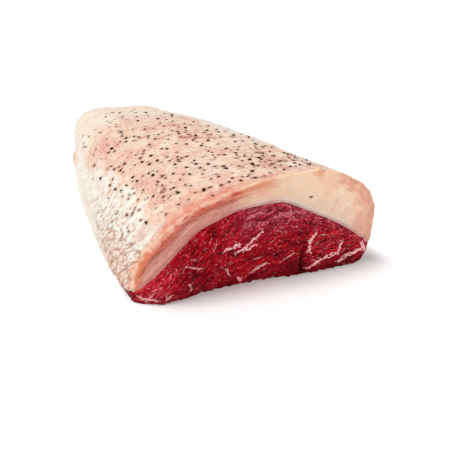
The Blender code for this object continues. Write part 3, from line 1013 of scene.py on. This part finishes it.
# Which output of a node is used, where it is not the first.
OUTPUT_OF = {"ShaderNodeTexCoord": "Object", "ShaderNodeAttribute": "Fac", "ShaderNodeTexNoise": "Fac"}


def mark(tree, name):
    """A mark that was set on the surface."""
    return add_node(tree, "Attribute", attribute_name=name)


def combined(tree, operation, first, second):
    """Two values multiplied, added or subtracted."""
    return add_node(tree, "Math", {0: first, 1: second}, operation=operation)


def blended(tree, share, first, second):
    """The first of two colours or values, and as much of the second as its share says."""
    return add_node(tree, "MixRGB", {"Fac": share, "Color1": first, "Color2": second})


def painted(tree, colour, layers):
    """Lay colours over one another. Each layer gives a value or the name of a mark, the range of it over
    which the layer comes in, how strongly it covers, and its colour."""
    colour = hex_colour(colour)
    for value, low, high, strength, code in layers:
        if isinstance(value, str):
            value = mark(tree, value)
        share = add_node(tree, "MapRange", {
            "Value": value, "From Min": low, "From Max": high, "To Max": strength})
        colour = blended(tree, share, colour, hex_colour(code))
    return colour


def mottling(tree, size, detail):
    """Noise through the object, with lumps of the given size in millimetres."""
    place = add_node(tree, "TexCoord")
    return add_node(tree, "TexNoise", {
        "Vector": place, "Scale": 1 / (size * MM), "Detail": detail, "Roughness": 0.6})


def grained(tree, length, width, detail):
    """Noise drawn out along the fibres of the cut face, in streaks of the given length and width in
    millimetres. Three straight grains are laid side by side, each where the fibres run its way."""
    place = add_node(tree, "TexCoord")
    grains = []
    for degrees in (LEVEL, STEEP, FALLING):
        turned = add_node(tree, "Mapping", {
            "Vector": place, "Rotation": (0.0, -math.radians(degrees), 0.0),
            "Scale": (length * MM, length * MM, width * MM)}, vector_type="TEXTURE")
        grains.append(add_node(tree, "TexNoise", {
            "Vector": turned, "Scale": 1.0, "Detail": detail, "Roughness": 0.55}))
    level, steep, falling = grains
    return blended(tree, mark(tree, "falling"), blended(tree, mark(tree, "steep"), level, steep), falling)


def finished(made, surface):
    """The material, with a surface that is given as a Principled shader's inputs."""
    shader = add_node(made.node_tree, "BsdfPrincipled", surface)
    add_node(made.node_tree, "OutputMaterial", {"Surface": shader})
    return made


def raw_lean_beef():
    """Raw lean beef, cut across the fibres: deep crimson, with brighter and darker bundles of fibres and pale
    threads of fat."""
    made, tree = new_material("raw_lean_beef")
    # Patches are 12 mm across and grains 1.3 to 1.6 mm; fibres are 1.7 mm wide and threads of fat 0.9 mm.
    patch, grain = mottling(tree, 12.0, 3.0), mottling(tree, 1.6, 2.0)
    fibre, thread = grained(tree, 6.0, 1.7, 2.0), grained(tree, 3.4, 0.9, 2.0)
    bright_grain = combined(tree, "MULTIPLY", mark(tree, "bright"), grain)
    fleck_and_glint = combined(tree, "ADD", mark(tree, "flecks_and_glints"), mottling(tree, 1.3, 1.0))
    silverskin_sheen_specks = combined(tree, "MULTIPLY", mark(tree, "silverskin_and_sheen"), thread)
    colour = painted(tree, "#980815", (
        (patch, 0.42, 0.62, 0.55, "#66030E"),
        ("bundles", 0.55, 0.78, 0.7, "#B4101C"),
        ("bundles", 0.42, 0.22, 0.75, "#460107"),
        ("bright", 0.0, 1.0, 0.6, "#C41826"),
        (fibre, 0.53, 0.66, 0.65, "#C81E2C"),
        (fibre, 0.46, 0.34, 0.8, "#3C0106"),
        # Silverskin's lilac colour, then its pale specks, which are painted sheen.
        ("silverskin_and_sheen", 0.0, 1.0, 0.5, "#943044"),
        (silverskin_sheen_specks, 0.42, 0.62, 0.6, "#D88C90"),
        (thread, 0.6, 0.75, 0.7, "#D4404E"),
        (thread, 0.44, 0.32, 0.6, "#300105"),
        (bright_grain, 0.45, 0.6, 0.6, "#E0606A"),
        # Pale flecks, partly fat and partly painted wet glints.
        (fleck_and_glint, 0.64, 0.76, 0.6, "#E87884"),
        # Painted shade towards the floor.
        ("foot", 0.0, 1.0, 0.5, "#45020A"),
        ("deep", 0.1, 1.0, 0.65, "#4A020A"),
        ("marbling", 0.2, 0.7, 0.95, "#FABAB8"),
        # Painted shade in and beside the crack.
        ("crack_shade", 0.0, 1.0, 0.45, "#4A040C"),
        ("crack", 0.1, 0.8, 0.85, "#360208"),
    ))
    bump = add_node(tree, "Bump", {"Height": fibre, "Strength": 0.8, "Distance": 0.0005})
    return finished(made, {
        "Base Color": colour, "Roughness": 0.4, "IOR": 1.38, "Specular IOR Level": 0.03, "Normal": bump,
        "Subsurface Weight": 0.05, "Subsurface Scale": 0.0015, "Subsurface Radius": (1.0, 0.2, 0.15),
    })


def drawn_out(tree, across, where, length, width, detail):
    """Noise in streaks, of the given length and width in millimetres, where a mark lies: its share of that
    mark, and the rest of the mark."""
    run = add_node(tree, "CombineXYZ", {"X": mark(tree, "band_along"), "Y": mark(tree, across)})
    scaled = add_node(tree, "Mapping", {
        "Vector": run, "Scale": (BAND_SPAN / length, BAND_SPAN / width, 1.0)})
    noisy = add_node(tree, "TexNoise", {"Vector": scaled, "Scale": 1.0, "Detail": detail})
    share = combined(tree, "MULTIPLY", mark(tree, where), noisy)
    return share, combined(tree, "SUBTRACT", mark(tree, where), share)


def raw_beef_fat():
    """Raw hard beef fat: waxy and cream, with a satin skin, white dry parts that also carry painted
    highlight, pink traces of blood, and painted shade and highlights on its wrinkles, creases and cut edge.
    """
    made, tree = new_material("raw_beef_fat")
    # Blotches are 9 mm across, flushes 13 mm, lobules of fat 2.8 mm, shreds 1.5 mm and pores 0.8 mm.
    blotch, flush, lobule, shred, pore = [
        mottling(tree, size, detail)
        for size, detail in ((9.0, 5.0), (13.0, 3.0), (2.8, 4.0), (1.5, 2.0), (0.8, 2.0))]
    # Streaks in the left part of the cut are 8 mm long and 0.8 mm wide; wrinkles on the flank 6 mm and 2 mm,
    # with painted highlight on their tops and painted shade in their hollows.
    streaked, unstreaked = drawn_out(tree, "band_across", "left_cut", 8.0, 0.8, 2.0)
    raised, painted_wrinkle_shade = drawn_out(tree, "flank_across", "flank", 6.0, 2.0, 3.0)
    pink_cut = combined(tree, "MULTIPLY", mark(tree, "cut"), blotch)
    pale_cut = combined(tree, "MULTIPLY", mark(tree, "cut"), flush)
    ragged_white_and_highlight = combined(tree, "ADD", mark(tree, "white"), shred)
    colour = painted(tree, "#F7D2B6", (
        (blotch, 0.45, 0.62, 0.65, "#E8AE98"),
        ("flushed", 0.3, 1.0, 0.6, "#E0A08A"),
        (blotch, 0.46, 0.34, 0.6, "#F8E0C8"),
        (flush, 0.53, 0.64, 0.7, "#E2A090"),
        (flush, 0.47, 0.36, 0.7, "#F8E2C2"),
        ("bruise", 0.2, 0.9, 0.6, "#D28478"),
        # Partly cream fat and partly painted glow towards the tail.
        ("cream", 0.0, 1.0, 0.85, "#FFF4E0"),
        ("pale", 0.0, 1.0, 0.8, "#FCF0E2"),
        ("foot", 0.0, 1.0, 0.85, "#E2A484"),
        (lobule, 0.53, 0.66, 0.5, "#FCEEDD"),
        (lobule, 0.45, 0.3, 0.5, "#CC8C74"),
        # White parts, partly dry fat and partly painted highlight.
        (ragged_white_and_highlight, 0.55, 1.0, 0.9, "#F9F4E8"),
        (shred, 0.55, 0.68, 0.6, "#FDF3E6"),
        (shred, 0.42, 0.3, 0.45, "#C88C76"),
        # Painted highlight on the tops of the flank's wrinkles, then painted shade in their hollows.
        (raised, 0.5, 0.64, 0.8, "#FFFCF6"),
        (painted_wrinkle_shade, 0.51, 0.64, 0.85, "#B47C5C"),
        ("rosy", 0.1, 0.8, 0.8, "#DC7A5E"),
        # Painted shade in the creases.
        ("creases", 0.1, 0.8, 0.6, "#CC9A80"),
        # Painted shade along the long wrinkle.
        ("long_wrinkle", 0.2, 0.9, 0.75, "#B87060"),
        ("browned_round_grains", 0.2, 1.0, 0.75, "#8A4C36"),
        ("cut", 0.0, 1.0, 0.88, "#F6D0B0"),
        (pink_cut, 0.5, 0.64, 0.35, "#EEB296"),
        (pale_cut, 0.54, 0.66, 0.4, "#FCEAD2"),
        ("amber", 0.1, 0.9, 0.75, "#DE9468"),
        ("beside_lean", 0.0, 1.0, 0.7, "#D8BEA4"),
        ("pale_band", 0.1, 1.0, 0.75, "#D6C8BC"),
        ("rim", 0.1, 0.9, 0.45, "#E89C70"),
        ("lines", 0.3, 0.9, 0.4, "#CC8A78"),
        ("inner", 0.1, 0.9, 0.9, "#C87668"),
        ("outer", 0.1, 0.8, 0.95, "#C8462C"),
        (streaked, 0.5, 0.6, 0.3, "#EEB49C"),
        (unstreaked, 0.52, 0.6, 0.7, "#8E3A2A"),
        ("beside_layer", 0.1, 0.9, 0.45, "#B8644C"),
        ("blotch", 0.1, 0.9, 0.8, "#DE8661"),
        ("layer", 0.15, 0.9, 0.8, "#86301E"),
        ("film", 0.1, 0.9, 0.7, "#DD9A84"),
        ("rind", 0.1, 1.0, 0.6, "#DE9478"),
        # Painted shade along the crease at the rind's edge.
        ("rind_crease_shade", 0.2, 0.9, 0.6, "#B8705A"),
        ("end_lines", 0.2, 0.9, 0.6, "#B0624C"),
        ("orange", 0.1, 0.9, 0.7, "#E88658"),
        # Painted highlights on the ragged tips of the cut edge.
        ("ridge_highlights", 0.2, 0.7, 0.75, "#F6C0A8"),
        # The pale lip, partly the membrane's edge and partly painted highlight.
        ("lip_and_highlight", 0.2, 0.8, 0.8, "#F8DDBA"),
        ("lean_edge", 0.1, 0.9, 0.7, "#B46A66"),
        ("spot", 0.1, 0.7, 0.9, "#5A2620"),
    ))
    height = lobule
    for finer in (pore, raised, streaked):
        height = combined(tree, "ADD", height, finer)
    bump = add_node(tree, "Bump", {"Height": height, "Strength": 0.8, "Distance": 0.0004})
    return finished(made, {
        "Base Color": colour, "Roughness": 0.5, "IOR": 1.45, "Normal": bump,
        "Subsurface Weight": 0.1, "Subsurface Scale": 0.0015, "Subsurface Radius": (1.0, 0.5, 0.3),
        "Coat Weight": 0.1, "Coat Roughness": 0.3,
    })


def cracked_black_pepper():
    """Cracked black pepper: dry and matt, from near black husk to browner broken sides."""
    made, tree = new_material("cracked_black_pepper")
    colour = painted(tree, "#1E0B04", (("shade", 0.3, 1.0, 0.8, "#7E3E1E"),))
    return finished(made, {"Base Color": colour, "Roughness": 0.9, "IOR": 1.5, "Specular IOR Level": 0.02})


def coarse_salt():
    """Coarse salt: small white crystals that a little light sinks into."""
    made, _ = new_material("coarse_salt")
    return finished(made, {
        "Base Color": hex_colour("#FAF8F4"), "Roughness": 0.3, "IOR": 1.54,
        "Subsurface Weight": 0.3, "Subsurface Scale": 0.001,
    })


def pale_table():
    """A matt white table top."""
    made, _ = new_material("pale_table")
    return finished(made, {"Base Color": hex_colour("#FFFFFF"), "Roughness": 0.9})


# ---- The studio ----


def add_camera():
    """A camera 0.56 m away, looking down at the cut face from its left."""
    turn, down, roll = [math.radians(degrees) for degrees in (CAMERA_TURN, CAMERA_DOWN, CAMERA_ROLL)]
    ahead = Vector((math.sin(turn) * math.cos(down), math.cos(turn) * math.cos(down), -math.sin(down)))
    level = Vector((math.cos(turn), -math.sin(turn), 0.0))
    upright = level.cross(ahead)
    right = level * math.cos(roll) + upright * math.sin(roll)
    up = upright * math.cos(roll) - level * math.sin(roll)
    data = bpy.data.cameras.new("camera")
    data.lens, data.sensor_width = CAMERA_LENS, CAMERA_SENSOR
    data.clip_start = 0.01
    camera = bpy.data.objects.new("camera", data)
    bpy.context.scene.collection.objects.link(camera)
    turned = Matrix((right, up, -ahead)).transposed().to_4x4()
    camera.matrix_world = Matrix.Translation((CAMERA_PLACE - ORIGIN) * MM) @ turned
    bpy.context.scene.camera = camera


def add_light(name, towards, strength, spread):
    """Soft light from far off. towards points at the light, and spread is how wide it looks, in degrees."""
    data = bpy.data.lights.new(name, "SUN")
    data.energy, data.angle = strength, math.radians(spread)
    lamp = bpy.data.objects.new(name, data)
    bpy.context.scene.collection.objects.link(lamp)
    lamp.rotation_euler = Vector(towards).to_track_quat("Z", "Y").to_euler()


def add_studio():
    """A white table in a pale room, with its lights."""
    world = bpy.data.worlds.new("soft_room")
    world.use_nodes = True
    background = world.node_tree.nodes["Background"].inputs
    background["Color"].default_value = (1.0, 1.0, 1.0, 1.0)
    background["Strength"].default_value = ROOM_STRENGTH
    bpy.context.scene.world = world
    bpy.context.scene.view_settings.view_transform = "Standard"
    for light in LIGHTS:
        add_light(*light)
    bpy.ops.mesh.primitive_plane_add(size=TABLE_SIZE, location=(0.0, 0.0, 0.0))
    floor = bpy.context.object
    floor.name = "table"
    floor.data.materials.append(pale_table())


def main():
    lean, fat = build_lean(), build_fat()
    draw = random.Random(SEED + 1)
    coarse_pepper, fine_pepper = large_grains(), small_grains(draw, FINE_GRAINS, FINE_RADIUS, FINE_IN, True)
    brown_round_grains(fat, coarse_pepper + fine_pepper)
    large = add_grains("pepper", fat, coarse_pepper, draw, 0.55)
    fine = add_grains("fine_pepper", fat, fine_pepper, draw, 0.55)
    specks = small_grains(draw, SALT_GRAINS, SALT_RADIUS, SALT_IN, False)
    salt = add_grains("salt", fat, specks, draw, 0.4)
    black, white = cracked_black_pepper(), coarse_salt()
    for piece, finish, slot in (
        (lean, raw_lean_beef(), "raw_beef"), (fat, raw_beef_fat(), "beef_fat"),
        (large, black, "beef_fat"), (fine, black, "beef_fat"), (salt, white, "beef_fat"),
    ):
        piece.data.materials.append(finish)
        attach(piece, "root")
    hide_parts("lean")
    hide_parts("fat_cap")
    add_studio()
    add_camera()


main()
